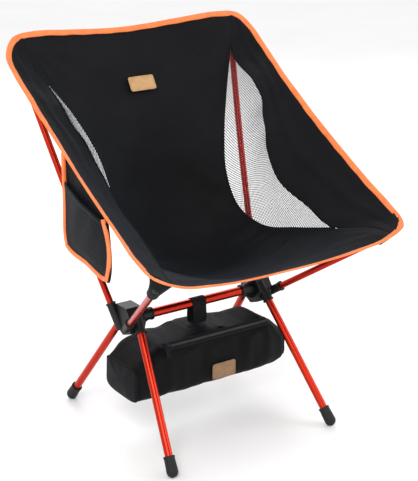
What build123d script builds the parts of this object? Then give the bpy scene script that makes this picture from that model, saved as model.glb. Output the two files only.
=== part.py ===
"""Ultralight backpacking chair: a pole frame on two moulded hubs with a hung sling seat.

Frame: millimetres, +Z up, origin on the ground under the middle of the chair.
The sitter faces -Y, so the sitter's left is +X and the sitter's right is -X.
Points are written for the left side and mirrored by SIDES for the right side.
"""
import os
from math import cos, radians, sin

from build123d import *

os.makedirs("parts", exist_ok=True)

SIDES = (("left", 1), ("right", -1))

# ---- tube stock ----
LEG_DIAMETER = 13.0
POLE_DIAMETER = 11.0
CROSSBAR_DIAMETER = 15.5
TUBE_WALL = 0.9
CORD_DIAMETER = 3.0
RUNNING_GAP = 0.1

# ---- frame points, left side ----
HUB_HEIGHT = 206.0
CROSSBAR_Y = 15.0
CROSSBAR_PLANE = Plane(origin=(0, CROSSBAR_Y, 0), x_dir=(0, 1, 0), z_dir=(1, 0, 0))
CROSSBAR_END_X = 114.0
FRONT_LEG_ROOT = Vector(124.5, 5.0, 216.0)
REAR_LEG_ROOT = Vector(125.0, 30.0, 216.0)
FRONT_FOOT = Vector(159.5, -152.0, 9.1)
REAR_FOOT = Vector(149.5, 189.0, 9.1)
FRONT_POLE_ROOT = Vector(140.5, 11.0, 192.0)
FRONT_POLE_TIP = Vector(222.0, -211.0, 346.0)
REAR_POLE_ROOT = Vector(141.0, 30.0, 187.0)
REAR_POLE_TIP = Vector(212.0, 219.0, 614.0)
REAR_POLE_AIM = Vector(211.0, 237.0, 607.0)  # the socket points behind the tip, so the pole bows back
REAR_POLE_SPLIT = 0.45

# ---- hub ----
LEG_SLEEVE_LENGTH = 34.0
LEG_SLEEVE_DIAMETER = 17.0
POLE_SLEEVE_DIAMETER = 15.0
FRONT_POLE_SLEEVE_LENGTH = 40.0
REAR_POLE_SLEEVE_LENGTH = 44.0
SOCKET_FLOOR = 3.0
LIP_LENGTH = 3.0
LIP_PROUD = 1.1
COLLAR_START_X = 90.0
COLLAR_DIAMETER = 19.5
BLOCK_START_X = 115.0
BLOCK_END_X = 143.0

# ---- feet ----
FOOT_RADIUS = 9.5
FOOT_NECK_RADIUS = 8.8
FOOT_HEIGHT = 24.5
FOOT_BORE_DEPTH = 16.5

# ---- sling ----
FABRIC = 1.6
SEAM_GAP = 1.0
BINDING_WIDTH = 9.0
BINDING_THICKNESS = 2.6
BINDING_GAP = 0.4

# ---- carry bag ----
BAG_DEPTH = 110.0
BAG_HEIGHT = 100.0
BAG_CORNER = 28.0
BAG_CENTRE_Z = 120.0
BAG_WALL = 1.4
STRAP_WIDTH = 28.0
STRAP_THICKNESS = 1.6
ZIP_LENGTH = 210.0
ZIP_START_X = -98.0
BAG_LABEL_X = 17.6
BAG_LABEL_Z = 98.0
BAG_LABEL_LENGTH = 47.0
BAG_LABEL_HEIGHT = 28.0


def sided(point, side):
    """The point of the left side, or its mirror image on the right side."""
    return Vector(side * point.X, point.Y, point.Z)


def axis_plane(start, end):
    """A plane at start whose normal points at end."""
    return Plane(origin=start, z_dir=end - start)


def along(start, end, distance):
    """The point at a distance from start on the way to end."""
    return start + (end - start).normalized() * distance


# ---------------------------------------------------------------- hubs
for side_name, side in SIDES:
    front_leg_root = sided(FRONT_LEG_ROOT, side)
    rear_leg_root = sided(REAR_LEG_ROOT, side)
    front_pole_root = sided(FRONT_POLE_ROOT, side)
    rear_pole_root = sided(REAR_POLE_ROOT, side)
    sockets = (
        (front_leg_root, sided(FRONT_FOOT, side), LEG_SLEEVE_LENGTH, LEG_SLEEVE_DIAMETER, LEG_DIAMETER),
        (rear_leg_root, sided(REAR_FOOT, side), LEG_SLEEVE_LENGTH, LEG_SLEEVE_DIAMETER, LEG_DIAMETER),
        (front_pole_root, sided(FRONT_POLE_TIP, side), FRONT_POLE_SLEEVE_LENGTH, POLE_SLEEVE_DIAMETER, POLE_DIAMETER),
        (rear_pole_root, sided(REAR_POLE_AIM, side), REAR_POLE_SLEEVE_LENGTH, POLE_SLEEVE_DIAMETER, POLE_DIAMETER),
    )
    with BuildPart() as hub:
        # moulded block that ties the four sleeves to the crossbar collar
        with BuildSketch(CROSSBAR_PLANE.offset(side * BLOCK_START_X)):
            with BuildLine():
                FilletPolyline((-18, 186), (4, 178), (24, 188), (34, 206), (26, 227), (-8, 227), (-24, 206), radius=5, close=True)
            make_face()
        extrude(amount=side * (BLOCK_END_X - BLOCK_START_X))
        with BuildSketch(CROSSBAR_PLANE.offset(side * COLLAR_START_X)):
            with Locations((0, HUB_HEIGHT)):
                Circle(COLLAR_DIAMETER / 2)
        extrude(amount=side * (BLOCK_START_X - COLLAR_START_X + 2))
        with BuildSketch(CROSSBAR_PLANE.offset(side * COLLAR_START_X)):
            with Locations((0, HUB_HEIGHT)):
                Circle(COLLAR_DIAMETER / 2 + LIP_PROUD)
        extrude(amount=side * LIP_LENGTH)
        # gusset web under and over the collar
        with BuildSketch(Plane.XZ.offset(-2 - CROSSBAR_Y)):
            with BuildLine():
                Polyline(
                    (side * (COLLAR_START_X + 6), HUB_HEIGHT - COLLAR_DIAMETER / 2),
                    (side * (BLOCK_START_X + 1), HUB_HEIGHT - COLLAR_DIAMETER / 2 - 9),
                    (side * (BLOCK_START_X + 1), HUB_HEIGHT + COLLAR_DIAMETER / 2 + 9),
                    (side * (COLLAR_START_X + 6), HUB_HEIGHT + COLLAR_DIAMETER / 2),
                    close=True,
                )
            make_face()
        extrude(amount=4)
        # sleeves with a raised lip at each mouth
        for root, target, length, diameter, bore in sockets:
            with BuildSketch(axis_plane(root, target).offset(-SOCKET_FLOOR)):
                Circle(diameter / 2)
            extrude(amount=length + SOCKET_FLOOR)
            with BuildSketch(axis_plane(root, target).offset(length - LIP_LENGTH)):
                Circle(diameter / 2 + LIP_PROUD)
            extrude(amount=LIP_LENGTH)
        # bores
        for root, target, length, diameter, bore in sockets:
            with BuildSketch(axis_plane(root, target).offset(-RUNNING_GAP)):
                Circle(bore / 2 + RUNNING_GAP)
            extrude(amount=length + 30, mode=Mode.SUBTRACT)
            with BuildSketch(axis_plane(root, target).offset(-SOCKET_FLOOR - 6)):
                Circle(CORD_DIAMETER / 2 + RUNNING_GAP)
            extrude(amount=SOCKET_FLOOR + 7, mode=Mode.SUBTRACT)
        with BuildSketch(CROSSBAR_PLANE.offset(side * (COLLAR_START_X - 1))):
            with Locations((0, HUB_HEIGHT)):
                Circle(CROSSBAR_DIAMETER / 2 + RUNNING_GAP)
        extrude(amount=side * (CROSSBAR_END_X + RUNNING_GAP - COLLAR_START_X + 1), mode=Mode.SUBTRACT)
    hub.part.label = f"{side_name}_hub"
    export_step(hub.part, f"parts/{hub.part.label}.step")

# ---------------------------------------------------------------- crossbar and its cord
with BuildPart() as crossbar:
    with BuildSketch(CROSSBAR_PLANE.offset(-CROSSBAR_END_X)):
        with Locations((0, HUB_HEIGHT)):
            Circle(CROSSBAR_DIAMETER / 2)
            Circle(CROSSBAR_DIAMETER / 2 - TUBE_WALL, mode=Mode.SUBTRACT)
    extrude(amount=2 * CROSSBAR_END_X)
crossbar.part.label = "crossbar"
export_step(crossbar.part, "parts/crossbar.step")

with BuildPart() as crossbar_cord:
    with BuildSketch(CROSSBAR_PLANE.offset(-CROSSBAR_END_X + 1)):
        with Locations((0, HUB_HEIGHT)):
            Circle(CORD_DIAMETER / 2)
    extrude(amount=2 * CROSSBAR_END_X - 2)
crossbar_cord.part.label = "crossbar_cord"
export_step(crossbar_cord.part, "parts/crossbar_cord.step")

# ---------------------------------------------------------------- legs, feet and leg cords
for side_name, side in SIDES:
    for end_name, root_point, foot_point in (
        ("front", FRONT_LEG_ROOT, FRONT_FOOT),
        ("rear", REAR_LEG_ROOT, REAR_FOOT),
    ):
        root = sided(root_point, side)
        foot_centre = sided(foot_point, side)
        leg_length = (foot_centre - root).length - (FOOT_HEIGHT - FOOT_BORE_DEPTH)
        with BuildPart() as leg:
            with BuildSketch(axis_plane(root, foot_centre).offset(0.3)):
                Circle(LEG_DIAMETER / 2)
                Circle(LEG_DIAMETER / 2 - TUBE_WALL, mode=Mode.SUBTRACT)
            extrude(amount=leg_length - 0.3)
        leg.part.label = f"{side_name}_{end_name}_leg"
        export_step(leg.part, f"parts/{leg.part.label}.step")

        # rubber foot: domed tip, tapered neck, rolled mouth, trimmed flat where it stands
        foot_plane = axis_plane(foot_centre, root)
        with BuildPart() as foot:
            with BuildSketch(Plane(origin=foot_centre, x_dir=foot_plane.x_dir, z_dir=foot_plane.y_dir)):
                with BuildLine():
                    RadiusArc((0, FOOT_RADIUS), (-FOOT_RADIUS, 0), -FOOT_RADIUS)
                    Line((-FOOT_RADIUS, 0), (-FOOT_NECK_RADIUS, -FOOT_HEIGHT + 4))
                    Line((-FOOT_NECK_RADIUS, -FOOT_HEIGHT + 4), (-FOOT_NECK_RADIUS - 0.6, -FOOT_HEIGHT + 2))
                    Line((-FOOT_NECK_RADIUS - 0.6, -FOOT_HEIGHT + 2), (-FOOT_NECK_RADIUS - 0.6, -FOOT_HEIGHT))
                    Line((-FOOT_NECK_RADIUS - 0.6, -FOOT_HEIGHT), (0, -FOOT_HEIGHT))
                    Line((0, -FOOT_HEIGHT), (0, FOOT_RADIUS))
                make_face()
            revolve(axis=Axis(origin=foot_centre, direction=foot_plane.z_dir))
            with BuildSketch(foot_plane.offset(FOOT_HEIGHT - FOOT_BORE_DEPTH)):
                Circle(LEG_DIAMETER / 2 + 0.03)
            extrude(amount=FOOT_BORE_DEPTH + 1, mode=Mode.SUBTRACT)
            split(bisect_by=Plane.XY, keep=Keep.TOP)
        foot.part.label = f"{side_name}_{end_name}_foot"
        export_step(foot.part, f"parts/{foot.part.label}.step")

        with BuildPart() as leg_cord:
            with BuildSketch(axis_plane(root, foot_centre).offset(-SOCKET_FLOOR)):
                Circle(CORD_DIAMETER / 2)
            extrude(amount=leg_length + SOCKET_FLOOR - 2)
        leg_cord.part.label = f"{side_name}_{end_name}_leg_cord"
        export_step(leg_cord.part, f"parts/{leg_cord.part.label}.step")

# ---------------------------------------------------------------- seat poles
TIP_HEAD = 5.0
TIP_PLUG = 10.0
TIP_RADIUS = 6.3
FERRULE_LENGTH = 56.0
TUBE_INNER = POLE_DIAMETER / 2 - TUBE_WALL

for side_name, side in SIDES:
    front_root = sided(FRONT_POLE_ROOT, side)
    front_tip = sided(FRONT_POLE_TIP, side)
    pole_length = (front_tip - front_root).length
    with BuildPart() as front_pole:
        with BuildSketch(axis_plane(front_root, front_tip)):
            Circle(POLE_DIAMETER / 2)
            Circle(TUBE_INNER, mode=Mode.SUBTRACT)
        extrude(amount=pole_length)
    front_pole.part.label = f"{side_name}_front_pole"
    export_step(front_pole.part, f"parts/{front_pole.part.label}.step")

    with BuildPart() as front_pole_cord:
        with BuildSketch(axis_plane(front_root, front_tip).offset(-SOCKET_FLOOR)):
            Circle(CORD_DIAMETER / 2)
        extrude(amount=pole_length + SOCKET_FLOOR - TIP_PLUG - 0.5)
    front_pole_cord.part.label = f"{side_name}_front_pole_cord"
    export_step(front_pole_cord.part, f"parts/{front_pole_cord.part.label}.step")

    # the long rear pole is two sections on a ferrule: straight in its socket, then a slow bow
    rear_root = sided(REAR_POLE_ROOT, side)
    rear_tip = sided(REAR_POLE_TIP, side)
    rear_mouth = along(rear_root, sided(REAR_POLE_AIM, side), REAR_POLE_SLEEVE_LENGTH + 1)
    socket_run = Edge.make_line(rear_root, rear_mouth)
    bow = TangentArc(rear_mouth, rear_tip, tangent=rear_mouth - rear_root)
    half_ferrule = FERRULE_LENGTH / 2 / bow.length
    ferrule_run = bow.trim(REAR_POLE_SPLIT - half_ferrule, REAR_POLE_SPLIT + half_ferrule)
    cord_end = bow.trim(0, 1 - (TIP_PLUG + 0.5) / bow.length)
    for piece_name, run, outer, inner in (
        ("rear_pole_lower", Wire([socket_run, bow.trim(0, REAR_POLE_SPLIT)]), POLE_DIAMETER / 2, TUBE_INNER),
        ("rear_pole_upper", Wire([bow.trim(REAR_POLE_SPLIT, 1)]), POLE_DIAMETER / 2, TUBE_INNER),
        ("rear_pole_ferrule", Wire([ferrule_run]), TUBE_INNER - 0.05, TUBE_INNER - TUBE_WALL),
        ("rear_pole_cord", Wire([socket_run, cord_end]), CORD_DIAMETER / 2, 0),
    ):
        with BuildPart() as pole_piece:
            with BuildSketch(Plane(origin=run @ 0, z_dir=run % 0)):
                Circle(outer)
                if inner > 0:
                    Circle(inner, mode=Mode.SUBTRACT)
            sweep(path=run)
        pole_piece.part.label = f"{side_name}_{piece_name}"
        export_step(pole_piece.part, f"parts/{pole_piece.part.label}.step")

    # moulded tips that plug the pole ends and sit in the sling's corner pockets
    for end_name, tip_plane in (
        ("front", Plane(origin=front_tip, z_dir=front_tip - front_root)),
        ("rear", Plane(origin=rear_tip, z_dir=bow % 1)),
    ):
        with BuildPart() as pole_tip:
            with BuildSketch(tip_plane):
                Circle(TIP_RADIUS)
            extrude(amount=TIP_HEAD)
            fillet(pole_tip.faces().sort_by(Axis(tip_plane.origin, tip_plane.z_dir))[-1].edges(), TIP_HEAD - 1.5)
            with BuildSketch(tip_plane):
                Circle(TUBE_INNER - 0.1)
            extrude(amount=-TIP_PLUG)
        pole_tip.part.label = f"{side_name}_{end_name}_pole_tip"
        export_step(pole_tip.part, f"parts/{pole_tip.part.label}.step")

# ---------------------------------------------------------------- sling
# Each station is one line across the sling: the seam beside the mesh, as (x, y, z) on the left
# side, and the middle of the panel, as (y, z). Stations run from the front edge to the top edge.
PANEL_STATIONS = (
    ((205, -228, 356), (-214, 327)),
    ((197, -192, 356), (-190, 319)),
    ((173, -150, 348), (-155, 303)),
    ((147, -66, 330), (-73, 277)),
    ((127, 7, 320), (11, 262)),
    ((115, 60, 343), (85, 288)),
    ((113, 94, 397), (125, 362)),
    ((124, 116, 458), (146, 442)),
    ((150, 147, 522), (166, 514)),
    ((181, 181, 576), (198, 567)),
    ((201, 202, 612), (218, 604)),
    ((205, 210, 641), (237, 629)),
)
# Mesh window on the left side: the seam to the panel, then the seam to the side wing.
MESH_STATIONS = (
    ((169, -141, 346), (171, -135, 353)),
    ((147, -66, 330), (160, -69, 374)),
    ((127, 7, 320), (156, -2, 401)),
    ((115, 60, 343), (161, 35, 442)),
    ((113, 94, 397), (172, 58, 482)),
    ((124, 116, 458), (183, 79, 513)),
    ((150, 147, 522), (188, 112, 544)),
    ((181, 181, 576), (188, 172, 578)),
)
# Side wing on the left side: its inner seam, then the outer edge of the sling.
WING_STATIONS = (
    ((205, -228, 356), (234, -229, 368)),
    ((197, -192, 356), (243, -185, 388)),
    ((173, -150, 348), (242, -140, 411)),
    ((160, -69, 374), (242, -83, 442)),
    ((156, -2, 401), (242, -25, 475)),
    ((161, 35, 442), (242, 20, 502)),
    ((172, 58, 482), (243, 60, 527)),
    ((183, 79, 513), (244, 95, 548)),
    ((188, 112, 544), (245, 127, 570)),
    ((188, 172, 578), (246, 165, 597)),
    ((201, 202, 612), (243, 195, 622)),
    ((205, 210, 641), (230, 208, 640)),
)
# Bound edge on the left half, out from the middle: a point inside the sling, then the outer edge.
FRONT_EDGE = (
    ((0, -150, 302), (0, -223, 331)),
    ((70, -153, 305), (70, -226, 333)),
    ((140, -160, 325), (140, -234, 341)),
    ((178, -180, 342), (195, -240, 352)),
    ((192, -207, 350), (214, -240, 359)),
    ((200, -221, 355), (228, -236, 365)),
    ((205, -228.7, 355.9), (234, -229.7, 367.9)),
)
TOP_EDGE = (
    ((0, 218, 604), (0, 240, 638)),
    ((50, 217, 606), (50, 238, 640)),
    ((110, 212, 611), (110, 232, 645)),
    ((165, 205, 616), (185, 219, 651)),
    ((190, 208, 628), (208, 215, 650)),
    ((200, 209, 637), (222, 212, 646)),
    ((205, 210.5, 641.7), (230, 208.5, 640.7)),
)

# panel between the two mesh windows: a thin strip that dips in a parabola at every station
with BuildPart() as seat_panel:
    for seam, middle in PANEL_STATIONS:
        half_width = seam[0] - SEAM_GAP
        seam_point = Vector(0, seam[1], seam[2])
        dip = Vector(0, middle[0], middle[1]) - seam_point
        across = Plane(origin=seam_point, x_dir=(1, 0, 0), z_dir=Vector(1, 0, 0).cross(dip))
        depth = dip.length
        with BuildSketch(across):
            with BuildLine():
                for thickness in (0, FABRIC):
                    Spline(
                        *[
                            (half_width * step / 4, depth * (1 - (step / 4) ** 2) + thickness)
                            for step in range(-4, 5)
                        ]
                    )
                Line((-half_width, 0), (-half_width, FABRIC))
                Line((half_width, 0), (half_width, FABRIC))
            make_face()
    loft(ruled=True)
seat_panel.part.label = "seat_panel"
export_step(seat_panel.part, "parts/seat_panel.step")


def strip_plane(inner, outer, distance, heading):
    """A plane across a strip, at a distance from outer towards inner, with x along that line."""
    inward = (inner - outer).normalized()
    return Plane(origin=outer + inward * distance, x_dir=inward, z_dir=inward.cross(heading).cross(inward))


def strip_headings(rows):
    """The direction of travel at each row of a strip."""
    middles = [(inner + outer) * 0.5 for inner, outer in rows]
    last = len(middles) - 1
    return [middles[min(step + 1, last)] - middles[max(step - 1, 0)] for step in range(last + 1)]


for side_name, side in SIDES:
    # open netting between the panel and the side wing
    rows = [(sided(Vector(*inner), side), sided(Vector(*outer), side)) for inner, outer in MESH_STATIONS]
    with BuildPart() as mesh_window:
        for (inner, outer), heading in zip(rows, strip_headings(rows)):
            width = (outer - inner).length - 2 * SEAM_GAP
            with BuildSketch(strip_plane(inner, outer, SEAM_GAP + width / 2, heading)):
                Rectangle(width, FABRIC)
        loft(ruled=True)
    mesh_window.part.label = f"{side_name}_mesh_window"
    export_step(mesh_window.part, f"parts/{mesh_window.part.label}.step")

    # solid cloth from the mesh out to the bound edge
    rows = [(sided(Vector(*inner), side), sided(Vector(*outer), side)) for inner, outer in WING_STATIONS]
    headings = strip_headings(rows)
    with BuildPart() as side_wing:
        for (inner, outer), heading in zip(rows, headings):
            width = (outer - inner).length - SEAM_GAP - BINDING_WIDTH - BINDING_GAP
            with BuildSketch(strip_plane(inner, outer, BINDING_WIDTH + BINDING_GAP + width / 2, heading)):
                Rectangle(width, FABRIC)
        loft(ruled=True)
    side_wing.part.label = f"{side_name}_side_wing"
    export_step(side_wing.part, f"parts/{side_wing.part.label}.step")

    # folded tape sewn over the side edge
    with BuildPart() as side_binding:
        for (inner, outer), heading in zip(rows, headings):
            with BuildSketch(strip_plane(inner, outer, BINDING_WIDTH / 2, heading)):
                Rectangle(BINDING_WIDTH, BINDING_THICKNESS)
        loft(ruled=True)
    side_binding.part.label = f"{side_name}_side_binding"
    export_step(side_binding.part, f"parts/{side_binding.part.label}.step")

# tape over the front and the top edge, from corner to corner
for edge_name, edge in (("front", FRONT_EDGE), ("top", TOP_EDGE)):
    left_half = [(Vector(*inner), Vector(*outer)) for inner, outer in edge]
    right_half = [(sided(inner, -1), sided(outer, -1)) for inner, outer in reversed(left_half[1:])]
    rows = right_half + left_half
    outer_row = [(outer, outer) for inner, outer in rows]
    with BuildPart() as edge_binding:
        for (inner, outer), heading in zip(rows, strip_headings(outer_row)):
            with BuildSketch(strip_plane(inner, outer, BINDING_WIDTH / 2, heading)):
                Rectangle(BINDING_WIDTH, BINDING_THICKNESS)
        loft(ruled=True)
    edge_binding.part.label = f"{edge_name}_binding"
    export_step(edge_binding.part, f"parts/{edge_binding.part.label}.step")

# ---------------------------------------------------------------- corner pockets
POCKET_DEPTH = 26.0
POCKET_MOUTH_RADIUS = 8.4
POCKET_END_RADIUS = 9.6
POCKET_FLOOR = 1.6

for side_name, side in SIDES:
    front_tip = sided(FRONT_POLE_TIP, side)
    front_heading = sided(FRONT_POLE_TIP - FRONT_POLE_ROOT, side)
    rear_tip = sided(REAR_POLE_TIP, side)
    rear_mouth = along(sided(REAR_POLE_ROOT, side), sided(REAR_POLE_AIM, side), REAR_POLE_SLEEVE_LENGTH + 1)
    rear_heading = TangentArc(rear_mouth, rear_tip, tangent=rear_mouth - sided(REAR_POLE_ROOT, side)) % 1
    for end_name, pocket_plane in (
        ("front", Plane(origin=front_tip, z_dir=front_heading)),
        ("rear", Plane(origin=rear_tip, z_dir=rear_heading)),
    ):
        bore_end = TIP_HEAD + 0.3
        with BuildPart() as corner_pocket:
            with BuildSketch(pocket_plane.offset(bore_end - POCKET_DEPTH)):
                Circle(POCKET_MOUTH_RADIUS)
            with BuildSketch(pocket_plane.offset(bore_end + POCKET_FLOOR)):
                Circle(POCKET_END_RADIUS)
            loft()
            with BuildSketch(pocket_plane.offset(bore_end - POCKET_DEPTH - 1)):
                Circle(TIP_RADIUS + 0.3)
            extrude(amount=POCKET_DEPTH + 1, mode=Mode.SUBTRACT)
        corner_pocket.part.label = f"{side_name}_{end_name}_corner_pocket"
        export_step(corner_pocket.part, f"parts/{corner_pocket.part.label}.step")

# ---------------------------------------------------------------- side pockets
# A flat pouch hangs outside each side edge. Its outlines are in the YZ plane, as (y, z).
POCKET_BACK_OUTLINE = ((23, 489), (23, 348), (-105, 327), (-105, 418))
POCKET_FRONT_OUTLINE = ((23, 457), (23, 348), (-105, 327), (-105, 416))
POCKET_INNER_X = 236.0
POCKET_CLOTH = 1.2
POCKET_WIDTH = 10.4
POCKET_TAPE = 1.0

for side_name, side in SIDES:
    with BuildPart() as pocket_back:
        with BuildSketch(Plane.YZ.offset(side * POCKET_INNER_X)):
            with BuildLine():
                Polyline(*POCKET_BACK_OUTLINE, close=True)
            make_face()
        extrude(amount=side * POCKET_CLOTH)
    pocket_back.part.label = f"{side_name}_side_pocket_back"
    export_step(pocket_back.part, f"parts/{pocket_back.part.label}.step")

    front_start = POCKET_INNER_X + POCKET_CLOTH + 0.2
    with BuildPart() as pocket_front:
        with BuildSketch(Plane.YZ.offset(side * front_start)):
            with BuildLine():
                Polyline(*POCKET_FRONT_OUTLINE, close=True)
            make_face()
        extrude(amount=side * POCKET_WIDTH)
        mouth_rear, floor_rear, floor_front, mouth_front = POCKET_FRONT_OUTLINE
        with BuildSketch(Plane.YZ.offset(side * (front_start - 1))):
            with BuildLine():
                Polyline(
                    (mouth_rear[0] - POCKET_CLOTH, mouth_rear[1] + 10),
                    (floor_rear[0] - POCKET_CLOTH, floor_rear[1] + POCKET_CLOTH),
                    (floor_front[0] + POCKET_CLOTH, floor_front[1] + POCKET_CLOTH),
                    (mouth_front[0] + POCKET_CLOTH, mouth_front[1] + 10),
                    close=True,
                )
            make_face()
        extrude(amount=side * (POCKET_WIDTH - POCKET_CLOTH + 1), mode=Mode.SUBTRACT)
    pocket_front.part.label = f"{side_name}_side_pocket_front"
    export_step(pocket_front.part, f"parts/{pocket_front.part.label}.step")

    # tape round the rear, bottom and front edges of the pouch
    rear_top, rear_low, front_low, front_top = POCKET_BACK_OUTLINE
    with BuildPart() as pocket_binding:
        with BuildSketch(Plane.YZ.offset(side * (POCKET_INNER_X - 0.6))):
            with BuildLine():
                Polyline(
                    (rear_top[0] + 0.2, rear_top[1]),
                    (rear_low[0] + 0.2, rear_low[1] - 0.3),
                    (front_low[0] - 0.2, front_low[1] - 0.3),
                    (front_top[0] - 0.2, front_top[1]),
                    (front_top[0] - 0.2 - POCKET_TAPE, front_top[1]),
                    (front_low[0] - 0.2 - POCKET_TAPE, front_low[1] - 0.5 - POCKET_TAPE),
                    (rear_low[0] + 0.2 + POCKET_TAPE, rear_low[1] - 0.3 - POCKET_TAPE),
                    (rear_top[0] + 0.2 + POCKET_TAPE, rear_top[1]),
                    close=True,
                )
            make_face()
        extrude(amount=side * (POCKET_WIDTH + POCKET_CLOTH + 1.4))
    pocket_binding.part.label = f"{side_name}_side_pocket_binding"
    export_step(pocket_binding.part, f"parts/{pocket_binding.part.label}.step")

# ---------------------------------------------------------------- label on the backrest
LABEL_LENGTH = 50.0
LABEL_HEIGHT = 26.0
LABEL_THICKNESS = 1.0
LABEL_CORNER = 4.0
back_label_plane = Plane(origin=(0, 179.2, 550.8), x_dir=(1, 0, 0), z_dir=(0, -0.855, 0.518))

with BuildPart() as back_label:
    with BuildSketch(back_label_plane):
        RectangleRounded(LABEL_LENGTH, LABEL_HEIGHT, LABEL_CORNER)
    extrude(amount=LABEL_THICKNESS)
back_label.part.label = "back_label"
export_step(back_label.part, "parts/back_label.step")

# ---------------------------------------------------------------- carry bag
# Sections along the bag: x, depth, height, how far its floor is lifted, corner radius.
BAG_SECTIONS = (
    (-150, 102, 56, 2, 16),
    (-145, 108, 64, 0, 20),
    (-125, 110, 84, 0, 26),
    (-100, 110, 100, 0, BAG_CORNER),
    (112, 110, 100, 0, BAG_CORNER),
    (134, 100, 84, 0, 26),
    (152, 98, 62, 4, 20),
    (158, 84, 48, 10, 16),
)
BAG_FLOOR_Z = BAG_CENTRE_Z - BAG_HEIGHT / 2


def bag_solid(inset):
    """The bag's outer form, or its inside when inset by the wall: it slumps towards both ends."""
    with BuildPart(mode=Mode.PRIVATE) as form:
        for x, depth, height, lift, radius in BAG_SECTIONS:
            reach = x + inset if x == BAG_SECTIONS[0][0] else x
            reach = x - inset if x == BAG_SECTIONS[-1][0] else reach
            with BuildSketch(CROSSBAR_PLANE.offset(reach)):
                with Locations((0, BAG_FLOOR_Z + lift + height / 2)):
                    RectangleRounded(depth - 2 * inset, height - 2 * inset, radius - inset)
        loft(ruled=True)
    return form.part


with BuildPart() as bag_shell:
    add(bag_solid(0))
    add(bag_solid(BAG_WALL), mode=Mode.SUBTRACT)
bag_shell.part.label = "bag_shell"
export_step(bag_shell.part, "parts/bag_shell.step")

# webbing loop over the crossbar, sewn to the top of the bag
BAG_TOP_Z = BAG_CENTRE_Z + BAG_HEIGHT / 2
LOOP_INNER = CROSSBAR_DIAMETER / 2 + RUNNING_GAP
LOOP_OUTER = LOOP_INNER + STRAP_THICKNESS
with BuildPart() as bag_strap:
    with BuildSketch(CROSSBAR_PLANE.offset(-STRAP_WIDTH / 2)):
        with Locations((0, HUB_HEIGHT)):
            Circle(LOOP_OUTER)
        with BuildLine():
            Polyline(
                (-LOOP_OUTER, HUB_HEIGHT),
                (-LOOP_OUTER, BAG_TOP_Z + 0.2),
                (LOOP_OUTER, BAG_TOP_Z + 0.2),
                (LOOP_OUTER, HUB_HEIGHT),
                close=True,
            )
        make_face()
        with Locations((0, HUB_HEIGHT)):
            Circle(LOOP_INNER, mode=Mode.SUBTRACT)
        with BuildLine():
            Polyline(
                (-LOOP_INNER, HUB_HEIGHT),
                (-LOOP_INNER, BAG_TOP_Z + 0.2 + STRAP_THICKNESS),
                (LOOP_INNER, BAG_TOP_Z + 0.2 + STRAP_THICKNESS),
                (LOOP_INNER, HUB_HEIGHT),
                close=True,
            )
        make_face(mode=Mode.SUBTRACT)
    extrude(amount=STRAP_WIDTH)
bag_strap.part.label = "bag_strap"
export_step(bag_strap.part, "parts/bag_strap.step")

# the zip lies along the bag's upper front corner, facing forward and up
DIAGONAL = sin(radians(45))
corner_centre = (CROSSBAR_Y - BAG_DEPTH / 2 + BAG_CORNER, BAG_TOP_Z - BAG_CORNER)
zip_origin = (
    ZIP_START_X,
    corner_centre[0] - BAG_CORNER * DIAGONAL,
    corner_centre[1] + BAG_CORNER * DIAGONAL,
)
ZIP_WIDTH = 5.0
ZIP_THICKNESS = 1.2
zip_plane = Plane(origin=zip_origin, x_dir=(1, 0, 0), z_dir=(0, -1, 1)).offset(0.2)
with BuildPart() as bag_zip:
    with BuildSketch(zip_plane):
        with Locations((ZIP_LENGTH / 2, 0)):
            Rectangle(ZIP_LENGTH, ZIP_WIDTH)
    extrude(amount=ZIP_THICKNESS)
bag_zip.part.label = "bag_zip"
export_step(bag_zip.part, "parts/bag_zip.step")

SLIDER_LENGTH = 11.0
SLIDER_WIDTH = 6.4
SLIDER_THICKNESS = 3.0
EYE_RADIUS = 3.0
EYE_BORE = 1.5
EYE_THICKNESS = 1.6
EYE_LIFT = 3.6
slider_plane = zip_plane.offset(ZIP_THICKNESS + 0.3)
eye_centre = slider_plane.from_local_coords((SLIDER_LENGTH / 2, 0, SLIDER_THICKNESS + EYE_LIFT))
with BuildPart() as zip_slider:
    with BuildSketch(slider_plane):
        with Locations((SLIDER_LENGTH / 2, 0)):
            RectangleRounded(SLIDER_LENGTH, SLIDER_WIDTH, 2.5)
    extrude(amount=SLIDER_THICKNESS)
    # eye that the pull hangs from
    with BuildSketch(slider_plane.offset(SLIDER_THICKNESS - 0.2)):
        with Locations((SLIDER_LENGTH / 2, 0)):
            Rectangle(EYE_THICKNESS, 2 * EYE_RADIUS)
    extrude(amount=EYE_LIFT + 0.2)
    with BuildSketch(Plane(origin=eye_centre, x_dir=(0, 1, 0), z_dir=(1, 0, 0))):
        Circle(EYE_RADIUS)
    extrude(amount=EYE_THICKNESS / 2, both=True)
    with BuildSketch(Plane(origin=eye_centre, x_dir=(0, 1, 0), z_dir=(1, 0, 0))):
        Circle(EYE_BORE)
    extrude(amount=EYE_THICKNESS, both=True, mode=Mode.SUBTRACT)
zip_slider.part.label = "zip_slider"
export_step(zip_slider.part, "parts/zip_slider.step")

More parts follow.
